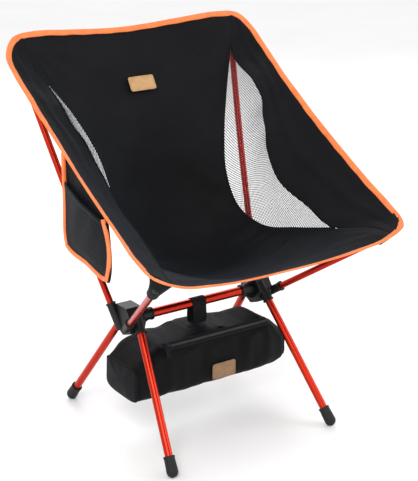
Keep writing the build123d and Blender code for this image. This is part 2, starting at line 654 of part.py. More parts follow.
# tab on a pin through the slider's eye, leaning on the front of the bag
PULL_LENGTH = 22.0
PULL_WIDTH = 8.0
PULL_THICKNESS = 1.6
KNUCKLE_RADIUS = 2.4
PULL_LEAN = 11.0
lean = radians(PULL_LEAN)
pull_plane = Plane(origin=eye_centre, x_dir=(1, 0, 0), z_dir=(0, -cos(lean), sin(lean)))
with BuildPart() as zip_pull:
    with BuildSketch(pull_plane.offset(-PULL_THICKNESS / 2)):
        with Locations((0, -PULL_LENGTH / 2)):
            Rectangle(PULL_WIDTH, PULL_LENGTH)
    extrude(amount=PULL_THICKNESS)
    for half_width, radius, mode in (
        (PULL_WIDTH / 2, KNUCKLE_RADIUS, Mode.ADD),
        (EYE_THICKNESS / 2 + 0.3, EYE_LIFT + 1.4, Mode.SUBTRACT),
        (PULL_WIDTH / 2 - 1, EYE_BORE - RUNNING_GAP, Mode.ADD),
    ):
        with BuildSketch(Plane(origin=eye_centre, x_dir=(0, 1, 0), z_dir=(1, 0, 0))):
            Circle(radius)
        extrude(amount=half_width, both=True, mode=mode)
zip_pull.part.label = "zip_pull"
export_step(zip_pull.part, "parts/zip_pull.step")

# label on the front of the bag
with BuildPart() as bag_label:
    with BuildSketch(Plane.XZ.offset(BAG_DEPTH / 2 + 0.2 - CROSSBAR_Y)):
        with Locations((BAG_LABEL_X, BAG_LABEL_Z)):
            RectangleRounded(BAG_LABEL_LENGTH, BAG_LABEL_HEIGHT, LABEL_CORNER)
    extrude(amount=LABEL_THICKNESS)
bag_label.part.label = "bag_label"
export_step(bag_label.part, "parts/bag_label.step")
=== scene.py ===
"""Looks of an ultralight backpacking chair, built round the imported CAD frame.

Metres, +Z up, origin on the ground under the middle of the chair. The sitter faces -Y, so
the sitter's left is +X. Tables of points are in millimetres, for the left side.
"""
import math

import bmesh
import bpy
import numpy as np
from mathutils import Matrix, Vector


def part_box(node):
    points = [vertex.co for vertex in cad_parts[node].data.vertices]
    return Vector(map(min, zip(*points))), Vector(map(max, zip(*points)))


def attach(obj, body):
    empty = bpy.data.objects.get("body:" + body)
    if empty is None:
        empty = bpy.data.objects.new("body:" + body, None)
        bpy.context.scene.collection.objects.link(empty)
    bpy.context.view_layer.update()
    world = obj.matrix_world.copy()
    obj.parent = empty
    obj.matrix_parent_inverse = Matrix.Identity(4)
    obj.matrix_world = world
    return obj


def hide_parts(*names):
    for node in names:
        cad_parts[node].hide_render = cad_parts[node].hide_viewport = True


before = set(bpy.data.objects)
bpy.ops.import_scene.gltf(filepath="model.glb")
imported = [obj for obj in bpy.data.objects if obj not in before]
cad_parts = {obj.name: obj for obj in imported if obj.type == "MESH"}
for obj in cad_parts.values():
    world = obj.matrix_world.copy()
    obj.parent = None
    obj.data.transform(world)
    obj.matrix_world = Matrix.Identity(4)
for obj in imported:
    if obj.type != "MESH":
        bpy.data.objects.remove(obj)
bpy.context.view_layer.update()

MM = 0.001
SIDES = (("left", 1), ("right", -1))

# cloth and thread thicknesses, in millimetres
SLING_CLOTH = 1.2
SLEEVE_CLOTH = 1.1
POCKET_CLOTH = 1.0
NET_CLOTH = 0.35
SEAM_THREAD = 0.26
TAPE_THREAD = 0.28
ZIP_THREAD = 0.25
LABEL_THREAD = 0.22
STITCH_SIDES = 6

# ---------------------------------------------------------------- camera
scene = bpy.context.scene
camera_data = bpy.data.cameras.new("camera")
camera_data.lens = 114.7
camera_data.sensor_width = 36
camera_data.sensor_fit = "HORIZONTAL"
camera = bpy.data.objects.new("camera", camera_data)
scene.collection.objects.link(camera)
CAMERA_TARGET = (0.025, 0.015, 0.310)
CAMERA_DISTANCE = 2.222
camera_back = Vector((-0.5366, -0.7806, 0.3206)).normalized()
camera.location = Vector(CAMERA_TARGET) + camera_back * CAMERA_DISTANCE
camera.rotation_mode = "QUATERNION"
camera.rotation_quaternion = camera_back.to_track_quat("Z", "Y")
camera_data.clip_end = 50
scene.camera = camera
scene.view_settings.view_transform = "Standard"


# ---------------------------------------------------------------- node graph helpers
class Graph:
    """One material's nodes, made from left to right."""

    def __init__(self, name):
        self.material = bpy.data.materials.new(name)
        self.material.use_nodes = True
        self.tree = self.material.node_tree
        self.tree.nodes.clear()
        self.out = self.tree.nodes.new("ShaderNodeOutputMaterial")
        self.shader = self.tree.nodes.new("ShaderNodeBsdfPrincipled")
        self.tree.links.new(self.shader.outputs[0], self.out.inputs[0])
        self.coords = self.tree.nodes.new("ShaderNodeTexCoord").outputs["Object"]

    def node(self, kind, **values):
        made = self.tree.nodes.new(kind)
        for key, value in values.items():
            if hasattr(made, key):
                setattr(made, key, value)
            else:
                made.inputs[key.replace("_", " ")].default_value = value
        return made

    def link(self, source, target):
        self.tree.links.new(source, target)

    def noise(self, scale, detail=3.0, rough=0.5, coords=None):
        made = self.node("ShaderNodeTexNoise", Scale=scale, Detail=detail, Roughness=rough)
        self.link(coords or self.coords, made.inputs["Vector"])
        return made.outputs["Fac"]

    def wave(self, scale, direction, distortion=0.0, coords=None):
        made = self.node("ShaderNodeTexWave", wave_type="BANDS", bands_direction=direction)
        made.inputs["Scale"].default_value = scale
        made.inputs["Distortion"].default_value = distortion
        made.inputs["Detail"].default_value = 1.0
        self.link(coords or self.coords, made.inputs["Vector"])
        return made.outputs["Fac"]

    def maths(self, operation, a, b):
        made = self.node("ShaderNodeMath", operation=operation)
        for slot, value in zip(made.inputs, (a, b)):
            if isinstance(value, (int, float)):
                slot.default_value = value
            else:
                self.link(value, slot)
        return made.outputs[0]

    def ramp(self, fac, stops):
        made = self.node("ShaderNodeValToRGB")
        elements = made.color_ramp.elements
        while len(elements) < len(stops):
            elements.new(0.5)
        for element, (place, colour) in zip(elements, stops):
            element.position = place
            element.color = (*colour, 1)
        self.link(fac, made.inputs["Fac"])
        return made.outputs["Color"]

    def spread(self, fac, low, high):
        made = self.node("ShaderNodeMapRange")
        made.inputs["To Min"].default_value = low
        made.inputs["To Max"].default_value = high
        self.link(fac, made.inputs["Value"])
        return made.outputs["Result"]

    def bump(self, *layers):
        """Bumps on top of one another: (height, distance in metres, strength)."""
        normal = None
        for height, distance, strength in layers:
            made = self.node("ShaderNodeBump", Strength=strength, Distance=distance)
            self.link(height, made.inputs["Height"])
            if normal is not None:
                self.link(normal, made.inputs["Normal"])
            normal = made.outputs["Normal"]
        self.link(normal, self.shader.inputs["Normal"])

    def set(self, **values):
        for key, value in values.items():
            self.shader.inputs[key.replace("_", " ")].default_value = value

    def colour(self, source):
        self.link(source, self.shader.inputs["Base Color"])

    def roughness(self, source):
        self.link(source, self.shader.inputs["Roughness"])


def cloth_material(name, dark, light, rough, sheen, tint, thread=900.0, weave=0.35):
    """Plain-woven cloth: fine crossed threads, faint slubs and soft creases."""
    g = Graph(name)
    g.colour(g.ramp(g.noise(14, 4, 0.6), [(0.3, dark), (0.72, light)]))
    g.roughness(g.spread(g.noise(45, 3), rough - 0.07, rough + 0.07))
    g.set(Sheen_Weight=sheen, Sheen_Roughness=0.45, Sheen_Tint=(*tint, 1), Specular_IOR_Level=0.08)
    along = g.wave(thread, "X", 0.4)
    across = g.wave(thread, "Z", 0.4)
    through = g.wave(thread, "Y", 0.4)
    threads = g.maths("ADD", g.maths("MULTIPLY", along, across), g.maths("MULTIPLY", along, through))
    g.bump(
        (g.noise(26, 5, 0.62), 0.0035, 0.30),
        (g.noise(120, 3, 0.5), 0.0008, 0.30),
        (threads, 0.0002, weave),
    )
    return g.material


def tape_material():
    """Grosgrain tape: fine ribs, a little fading and soft wear."""
    g = Graph("orange_tape")
    g.colour(g.ramp(g.noise(60, 4), [(0.25, (0.76, 0.150, 0.030)), (0.75, (0.92, 0.235, 0.060))]))
    g.roughness(g.spread(g.noise(90), 0.55, 0.72))
    g.set(Sheen_Weight=0.25, Sheen_Roughness=0.4, Sheen_Tint=(1.0, 0.72, 0.55, 1))
    ribs = g.maths("MULTIPLY", g.wave(700, "X", 0.6), g.wave(700, "Y", 0.6))
    g.bump((g.noise(70, 3), 0.0008, 0.35), (ribs, 0.0002, 0.5))
    return g.material


def tube_material():
    """Anodised tube: metallic red, a little uneven, with small scuffs."""
    g = Graph("red_anodised")
    g.colour(g.ramp(g.noise(9, 3), [(0.2, (0.44, 0.016, 0.005)), (0.8, (0.56, 0.028, 0.009))]))
    g.roughness(g.spread(g.noise(40, 3), 0.23, 0.32))
    g.set(Metallic=0.92, Coat_Weight=0.08, Coat_Roughness=0.12)
    g.bump((g.noise(300, 2), 0.00004, 0.05))
    return g.material


def plastic_material(name, base, light, rough, grain=900.0):
    """Moulded plastic or rubber with a fine grain and rubbed high spots."""
    g = Graph(name)
    g.colour(g.ramp(g.noise(30, 4), [(0.3, base), (0.8, light)]))
    g.roughness(g.spread(g.noise(80, 3), rough - 0.08, rough + 0.1))
    g.set(Specular_IOR_Level=0.28)
    g.bump((g.noise(grain, 2, 0.6), 0.00015, 0.4), (g.noise(60, 2), 0.0005, 0.12))
    return g.material


def leather_material(name, dark, light):
    """Smooth tanned leather: pores, wrinkles and mottled colour."""
    g = Graph(name)
    patches = g.maths("MULTIPLY", g.noise(70, 5, 0.65), 0.7)
    specks = g.maths("MULTIPLY", g.noise(400, 3), 0.3)
    mottle = g.maths("ADD", patches, specks)
    g.colour(g.ramp(mottle, [(0.32, dark), (0.68, light)]))
    g.roughness(g.spread(g.noise(220), 0.42, 0.62))
    pores = g.node("ShaderNodeTexVoronoi", Scale=1400.0, feature="DISTANCE_TO_EDGE")
    g.link(g.coords, pores.inputs["Vector"])
    g.bump((g.noise(90, 4), 0.0005, 0.35), (pores.outputs["Distance"], 0.0002, 0.4))
    return g.material


def metal_material(name, base, rough):
    g = Graph(name)
    g.colour(g.ramp(g.noise(120, 3), [(0.3, base), (0.8, tuple(1.4 * c for c in base))]))
    g.roughness(g.spread(g.noise(300), rough - 0.06, rough + 0.08))
    g.set(Metallic=0.9)
    g.bump((g.noise(500, 2), 0.0001, 0.2))
    return g.material


BLACK, DARK_GREY = (0.0036, 0.0038, 0.0044), (0.0060, 0.0062, 0.0072)
COOL, PALE = (0.62, 0.70, 0.95), (0.7, 0.75, 0.9)
THREAD_TWIST = 2500.0
cloth = cloth_material("black_cloth", BLACK, DARK_GREY, 0.56, 0.045, COOL)
bag_cloth = cloth_material(
    "bag_cloth", (0.0032, 0.0033, 0.0037), (0.0054, 0.0055, 0.0061), 0.60, 0.03, COOL, 620.0, 0.6
)
netting_thread = cloth_material(
    "netting_thread", (0.016, 0.0165, 0.019), (0.028, 0.029, 0.034), 0.55, 0.3, COOL, 1500.0
)
webbing = cloth_material(
    "black_webbing", (0.006, 0.006, 0.0065), (0.011, 0.011, 0.012), 0.66, 0.08, PALE, 420.0, 0.9
)
black_thread = cloth_material(
    "black_thread", (0.012, 0.012, 0.014), (0.024, 0.024, 0.028), 0.5, 0.4, PALE, THREAD_TWIST
)
orange = tape_material()
orange_thread = cloth_material(
    "orange_thread", (0.62, 0.10, 0.02), (0.78, 0.17, 0.04), 0.5, 0.3, (1.0, 0.75, 0.6), THREAD_TWIST
)
tan_thread = cloth_material(
    "tan_thread", (0.20, 0.10, 0.035), (0.30, 0.16, 0.06), 0.5, 0.2, (1.0, 0.85, 0.7), THREAD_TWIST
)
red_tube = tube_material()
bare_tube = metal_material("bare_tube", (0.55, 0.55, 0.56), 0.3)
hub_plastic = plastic_material("hub_plastic", (0.006, 0.006, 0.0065), (0.013, 0.013, 0.014), 0.44)
rubber = plastic_material("foot_rubber", (0.006, 0.006, 0.0065), (0.013, 0.013, 0.0135), 0.58, 500.0)
zip_plastic = plastic_material("zip_coil", (0.09, 0.09, 0.095), (0.16, 0.16, 0.165), 0.34)
zip_metal = metal_material("zip_metal", (0.045, 0.045, 0.048), 0.34)
seat_leather = leather_material("seat_leather", (0.36, 0.195, 0.075), (0.52, 0.31, 0.135))
bag_leather = leather_material("bag_leather", (0.19, 0.102, 0.045), (0.30, 0.172, 0.082))

NODE_MATERIALS = (
    ("foot", rubber),
    ("hub", hub_plastic),
    ("cord", black_thread),
    ("ferrule", bare_tube),
    ("pole_tip", hub_plastic),
    ("leg", red_tube),
    ("pole", red_tube),
    ("crossbar", red_tube),
    ("zip_slider", zip_metal),
    ("zip_pull", webbing),
    ("binding", orange),
    ("label", seat_leather),
)
for node_name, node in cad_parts.items():
    chosen = next((m for word, m in NODE_MATERIALS if word in node_name), cloth)
    node.data.materials.clear()
    node.data.materials.append(chosen)


# ---------------------------------------------------------------- mesh helpers
def piece(name, points, faces, material, body="frame", smooth=True):
    """A mesh object from points in millimetres."""
    data = bpy.data.meshes.new(name)
    data.from_pydata([tuple(float(c) * MM for c in p) for p in points], [], [tuple(f) for f in faces])
    data.validate()
    work = bmesh.new()
    work.from_mesh(data)
    bmesh.ops.recalc_face_normals(work, faces=work.faces)
    work.to_mesh(data)
    work.free()
    data.materials.append(material)
    data.polygons.foreach_set("use_smooth", [smooth] * len(data.polygons))
    made = bpy.data.objects.new(name, data)
    scene.collection.objects.link(made)
    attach(made, body)
    return made


def thicken(made, thickness, offset=0.0):
    """Gives a single sheet its cloth thickness, in millimetres, and applies it."""
    modifier = made.modifiers.new("thickness", "SOLIDIFY")
    modifier.thickness = thickness * MM
    modifier.offset = offset
    apply_modifiers(made)


def apply_modifiers(made):
    evaluated = made.evaluated_get(bpy.context.evaluated_depsgraph_get())
    data = bpy.data.meshes.new_from_object(evaluated)
    made.modifiers.clear()
    made.data = data


def grid_faces(rows, columns, wrap=False):
    faces = []
    for r in range(rows - 1):
        for c in range(columns if wrap else columns - 1):
            d = (c + 1) % columns
            faces.append((r * columns + c, r * columns + d, (r + 1) * columns + d, (r + 1) * columns + c))
    return faces


def mirrored(points, side):
    return np.asarray(points, float) * np.array([side, 1.0, 1.0])


def unit(vectors):
    vectors = np.asarray(vectors, float)
    return vectors / np.maximum(np.linalg.norm(vectors, axis=-1, keepdims=True), 1e-9)


def hermite(knots, rows, at, limited=False):
    """A smooth curve through rows at knots. Limited keeps it from overshooting."""
    knots, rows, at = np.asarray(knots, float), np.asarray(rows, float), np.asarray(at, float)
    steps = np.diff(knots)[:, None]
    slopes = np.diff(rows, axis=0) / steps
    tangents = np.empty_like(rows)
    tangents[0], tangents[-1] = slopes[0], slopes[-1]
    tangents[1:-1] = (slopes[:-1] * steps[1:] + slopes[1:] * steps[:-1]) / (steps[1:] + steps[:-1])
    if limited:
        turning = slopes[:-1] * slopes[1:] <= 0
        tangents[1:-1][turning] = 0
        smallest = np.minimum(np.abs(slopes[:-1]), np.abs(slopes[1:])) * 2
        tangents[1:-1] = np.clip(tangents[1:-1], -smallest, smallest)
    k = np.clip(np.searchsorted(knots, at, side="right") - 1, 0, len(knots) - 2)
    h = (knots[k + 1] - knots[k])[:, None]
    f = np.clip((at - knots[k])[:, None] / h, 0, 1)
    return (
        (1 + 2 * f) * (1 - f) ** 2 * rows[k]
        + f * (1 - f) ** 2 * h * tangents[k]
        + f**2 * (3 - 2 * f) * rows[k + 1]
        + f**2 * (f - 1) * h * tangents[k + 1]
    )


def lengths(points):
    points = np.asarray(points, float)
    return np.concatenate([[0], np.cumsum(np.linalg.norm(np.diff(points, axis=0), axis=1))])


def resampled(points, spacing, closed=False):
    """A smooth curve through points, with even steps. Returns the points."""
    points = np.asarray(points, float)
    if closed:
        points = np.vstack([points[-3:], points, points[:4]])
    knots = lengths(points)
    start, end = (knots[3], knots[-4]) if closed else (knots[0], knots[-1])
    count = max(2, int(round((end - start) / spacing)))
    at = np.linspace(start, end, count + 1)
    if closed:
        at = at[:-1]
    return hermite(knots, points, at)


def capsules(name, starts, ends, normals, radius, material, body="frame"):
    """A row of short stitches, each a small rounded thread between two points."""
    points, faces = [], []
    ring_angles = [math.tau * k / STITCH_SIDES for k in range(STITCH_SIDES)]
    profile = ((0.0, 0.25), (0.12, 0.75), (0.35, 1.0), (0.65, 1.0), (0.88, 0.75), (1.0, 0.25))
    for start, end, normal in zip(starts, ends, normals):
        run = end - start
        aside = unit(np.cross(run, normal))
        up = unit(np.cross(aside, run))
        base = len(points)
        for place, size in profile:
            dip = -radius * 0.9 * (2 * place - 1) ** 4
            for angle in ring_angles:
                points.append(
                    start + run * place + up * dip
                    + (aside * math.cos(angle) + up * math.sin(angle)) * radius * size
                )
        for r in range(len(profile) - 1):
            this_ring = base + r * STITCH_SIDES
            next_ring = this_ring + STITCH_SIDES
            for c in range(STITCH_SIDES):
                d = (c + 1) % STITCH_SIDES
                faces.append((this_ring + c, this_ring + d, next_ring + d, next_ring + c))
        last_ring = base + (len(profile) - 1) * STITCH_SIDES
        faces.append(tuple(base + c for c in range(STITCH_SIDES)))
        faces.append(tuple(last_ring + c for c in reversed(range(STITCH_SIDES))))
    return piece(name, points, faces, material, body)


def stitch_row(path, normals, pitch=4.4, length=3.0):
    """Start, end and normal of each stitch along a path."""
    run = lengths(path)
    starts = np.arange(pitch, run[-1] - pitch, pitch)

    def at(places):
        return np.stack([np.interp(places, run, path[:, k]) for k in range(3)], axis=1)

    def facing(places):
        return unit(np.stack([np.interp(places, run, normals[:, k]) for k in range(3)], axis=1))

    return at(starts), at(starts + length), facing(starts + length / 2)


def sweep(path, across, normals, profile, closed=False):
    """Points and faces of a profile of (across, out) carried along a path."""
    points = []
    for p, a, n in zip(path, across, normals):
        for u, v in profile:
            points.append(p + a * u + n * v)
    count, width = len(path), len(profile)
    faces = grid_faces(count, width, wrap=True)
    if closed:
        for c in range(width):
            d = (c + 1) % width
            faces.append(((count - 1) * width + c, (count - 1) * width + d, d, c))
    else:
        faces.append(tuple(range(width)))
        faces.append(tuple((count - 1) * width + c for c in reversed(range(width))))
    return points, faces


def two_faced(top):
    """A closed profile from its top half, mirrored for the underside."""
    return top + [(u, -v) for u, v in reversed(top) if v > 0]


# ---------------------------------------------------------------- the sling's surface
# From the front edge to the top edge: the middle as (y, z), the panel's seam, the seam of the
# side wing (the same where there is no netting between them), and the outer edge.
SLING = (
    ((-214, 327), (205, -228, 356), (205, -228, 356), (234, -229, 368)),
    ((-190, 319), (197, -192, 356), (197, -192, 356), (243, -185, 388)),
    ((-155, 303), (173, -150, 348), (173, -150, 348), (242, -140, 411)),
    ((-73, 277), (147, -66, 330), (160, -69, 374), (242, -83, 442)),
    ((11, 262), (127, 7, 320), (156, -2, 401), (242, -25, 475)),
    ((85, 288), (115, 60, 343), (161, 35, 442), (242, 20, 502)),
    ((125, 362), (113, 94, 397), (172, 58, 482), (243, 60, 527)),
    ((146, 442), (124, 116, 458), (183, 79, 513), (244, 95, 548)),
    ((166, 514), (150, 147, 522), (188, 112, 544), (245, 127, 570)),
    ((198, 567), (181, 181, 576), (188, 172, 578), (246, 165, 597)),
    ((218, 604), (201, 202, 612), (201, 202, 612), (243, 195, 622)),
    ((237, 629), (205, 210, 641), (205, 210, 641), (230, 208, 640)),
)
FRONT_EDGE = (
    ((0, -150, 302), (0, -223, 331)),
    ((70, -153, 305), (70, -226, 333)),
    ((140, -160, 325), (140, -234, 341)),
    ((178, -180, 342), (195, -240, 352)),
    ((192, -207, 350), (214, -240, 359)),
    ((200, -221, 355), (228, -236, 365)),
)
TOP_EDGE = (
    ((0, 218, 604), (0, 240, 638)),
    ((50, 217, 606), (50, 238, 640)),
    ((110, 212, 611), (110, 232, 645)),
    ((165, 205, 616), (185, 219, 651)),
    ((190, 208, 628), (208, 215, 650)),
    ((200, 209, 637), (222, 212, 646)),
)
MIDDLE = np.array([(0, y, z) for (y, z), _, _, _ in SLING], float)
SEAM = np.array([row[1] for row in SLING], float)
WING_SEAM = np.array([row[2] for row in SLING], float)
EDGE = np.array([row[3] for row in SLING], float)
KNOTS = (lengths(SEAM) + lengths(EDGE)) / 2
SLING_LENGTH = KNOTS[-1]
TAPE_WIDTH = 9.6
UNDER_TAPE = 4.5

# bound edge as one loop: (outer point, point inside the sling)
left_run = [(EDGE[k], WING_SEAM[k]) for k in range(len(EDGE))]
top_run = [(np.array(o, float), np.array(i, float)) for i, o in TOP_EDGE]
front_run = [(np.array(o, float), np.array(i, float)) for i, o in FRONT_EDGE]


def flip(run):
    return [(mirrored(o, -1), mirrored(i, -1)) for o, i in run]


loop = (
    left_run
    + top_run[::-1]
    + flip(top_run[1:])
    + flip(left_run)[::-1]
    + flip(front_run[1:])[::-1]
    + front_run
)
loop_outer = np.array([o for o, _ in loop])
loop_inward = unit(np.array([i - o for o, i in loop]))


def closed_curves(points, vectors, spacing):
    """Points and unit vectors carried smoothly round a closed loop."""
    wrapped = np.vstack([points[-3:], points, points[:4]])
    knots = lengths(wrapped)
    count = int(round((knots[-4] - knots[3]) / spacing))
    at = np.linspace(knots[3], knots[-4], count + 1)[:-1]
    carried = hermite(knots, np.vstack([vectors[-3:], vectors, vectors[:4]]), at, limited=True)
    return hermite(knots, wrapped, at), unit(carried)


edge_path, edge_inward = closed_curves(loop_outer, loop_inward, 3.0)
edge_tangent = unit(np.roll(edge_path, -1, axis=0) - np.roll(edge_path, 1, axis=0))
edge_normal = unit(np.cross(edge_tangent, edge_inward))
edge_inward = unit(np.cross(edge_normal, edge_tangent))
under = edge_path + edge_inward * UNDER_TAPE
front_under = under[(under[:, 1] < -175) & (np.abs(under[:, 0]) < 231)]
top_under = under[(under[:, 1] > 200) & (under[:, 2] > 615) & (np.abs(under[:, 0]) < 229)]
front_under = front_under[np.argsort(front_under[:, 0])]
top_under = top_under[np.argsort(top_under[:, 0])]


def edge_at(run, x):
    return np.stack([x, np.interp(x, run[:, 0], run[:, 1]), np.interp(x, run[:, 0], run[:, 2])], axis=-1)


# folds on the cloth: from (x, s) to (x, s) in millimetres, where s runs from front to top,
# then how deep and how wide each is
FOLDS = (
    ((-132, 205), (-15, 262), 3.2, 9),
    ((-130, 232), (-20, 240), -2.6, 8),
    ((-126, 250), (-30, 300), 3.0, 10),
    ((-122, 268), (-55, 345), 2.4, 9),
    ((-140, 170), (-40, 190), -1.8, 10),
    ((-138, 150), (10, 120), 1.6, 12),
    ((132, 215), (30, 255), 2.4, 9),
    ((128, 245), (45, 290), 2.6, 10),
    ((124, 272), (70, 350), 2.0, 9),
    ((138, 170), (40, 175), -1.6, 11),
    ((205, 5), (110, 70), 2.2, 10),
    ((205, 5), (150, 110), 1.6, 8),
    ((200, 5), (90, 30), 1.4, 9),
    ((-205, 5), (-110, 70), 2.2, 10),
    ((-205, 5), (-150, 110), 1.8, 8),
    ((-200, 5), (-90, 30), 1.6, 9),
    ((205, 588), (105, 500), 2.2, 10),
    ((205, 588), (60, 540), 1.8, 9),
    ((203, 585), (150, 470), 1.6, 9),
    ((-205, 588), (-105, 500), 2.0, 10),
    ((-205, 588), (-60, 540), 1.6, 9),
    ((-203, 585), (-150, 470), 1.6, 9),
    ((-110, 330), (-40, 430), 1.6, 14),
    ((108, 330), (40, 430), 1.6, 14),
    ((-60, 300), (60, 306), 1.4, 12),
    ((-70, 272), (50, 268), -1.4, 12),
)
FOLD_DEPTH = 1.4


def fold_height(x, s):
    height = np.zeros(np.broadcast(x, s).shape)
    for (x0, s0), (x1, s1), deep, wide in FOLDS:
        run = np.array([x1 - x0, s1 - s0], float)
        size = np.hypot(*run)
        along = ((x - x0) * run[0] + (s - s0) * run[1]) / size**2
        off = ((x - x0) * run[1] - (s - s0) * run[0]) / size
        bend = off + 5 * np.sin(along * 3.1)
        taper = np.clip(along * 6, 0, 1) * np.clip((1 - along) * 1.6, 0, 1)
        spread = wide * (0.6 + 0.8 * np.clip(along, 0, 1))
        height += deep * taper * np.exp(-((bend / spread) ** 2)) * ((along > 0) & (along < 1))
    ripple = 0.45 * np.sin(x / 17 + 1.7 * np.sin(s / 61)) * np.sin(s / 23 + x / 71)
    return height * FOLD_DEPTH + ripple


def grid_normals(grid):
    return unit(np.cross(np.gradient(grid, axis=0), np.gradient(grid, axis=1)))


# seat panel: columns run across from the right seam to the left seam
PANEL_COLUMNS = 97
s_rows = np.linspace(0, SLING_LENGTH, 171)
middle = hermite(KNOTS, MIDDLE, s_rows)
seam = hermite(KNOTS, SEAM, s_rows)
gap = hermite(KNOTS, WING_SEAM - SEAM, s_rows, limited=True)
wing_seam = seam + gap
outer = hermite(KNOTS, EDGE, s_rows)
cross = np.linspace(-1, 1, PANEL_COLUMNS)
panel = np.empty((len(s_rows), PANEL_COLUMNS, 3))
panel[..., 0] = seam[:, None, 0] * cross
for axis in (1, 2):
    panel[..., axis] = seam[:, None, axis] + (middle - seam)[:, None, axis] * (1 - cross**2)
front_row = edge_at(front_under, panel[0, :, 0] * 0.995)
top_row = edge_at(top_under, panel[-1, :, 0] * 0.995)
panel = np.concatenate([front_row[None], panel, top_row[None]])
s_panel = np.concatenate([[-5], s_rows, [SLING_LENGTH + 5]])
# the rows next to the bound edges ease into them
for row, (target, away) in enumerate(((front_row, 1), (top_row, -1))):
    for step in range(1, 9):
        index = step if away == 1 else len(panel) - 1 - step
        weight = (1 - step / 9) ** 2
        base = panel[index].copy()
        panel[index] = base * (1 - weight) + (target + (base - target) * 0.55) * weight
fade = np.clip(np.minimum(s_panel + 5, SLING_LENGTH + 5 - s_panel) / 25, 0, 1)[:, None]
side_fade = np.clip((1 - np.abs(cross)) * 14, 0, 1)[None]
normals = grid_normals(panel)
if normals[len(normals) // 2, PANEL_COLUMNS // 2, 1] > 0:
    normals = -normals
lift = fold_height(panel[..., 0], s_panel[:, None]) * fade * side_fade
panel_surface = panel + normals * lift[..., None]
rows, columns = panel_surface.shape[:2]
seat = piece(
    "seat_cloth", panel_surface.reshape(-1, 3), grid_faces(rows, columns), cloth
)
thicken(seat, SLING_CLOTH)
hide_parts("seat_panel")

# ---------------------------------------------------------------- wings, netting and seam tapes
WING_COLUMNS = 22
# half the length and half the height of a diamond, and the size of the hole in it
NET_LENGTH, NET_HEIGHT = 2.1, 1.75
NET_HOLE = 0.72
# how far the netting hangs out where its window is widest
NET_SAG = 7.5
NET_WIDEST = 80


def surface_at(curve_rows, s):
    return np.stack([np.interp(s, s_rows, curve_rows[:, k]) for k in range(3)], axis=-1)


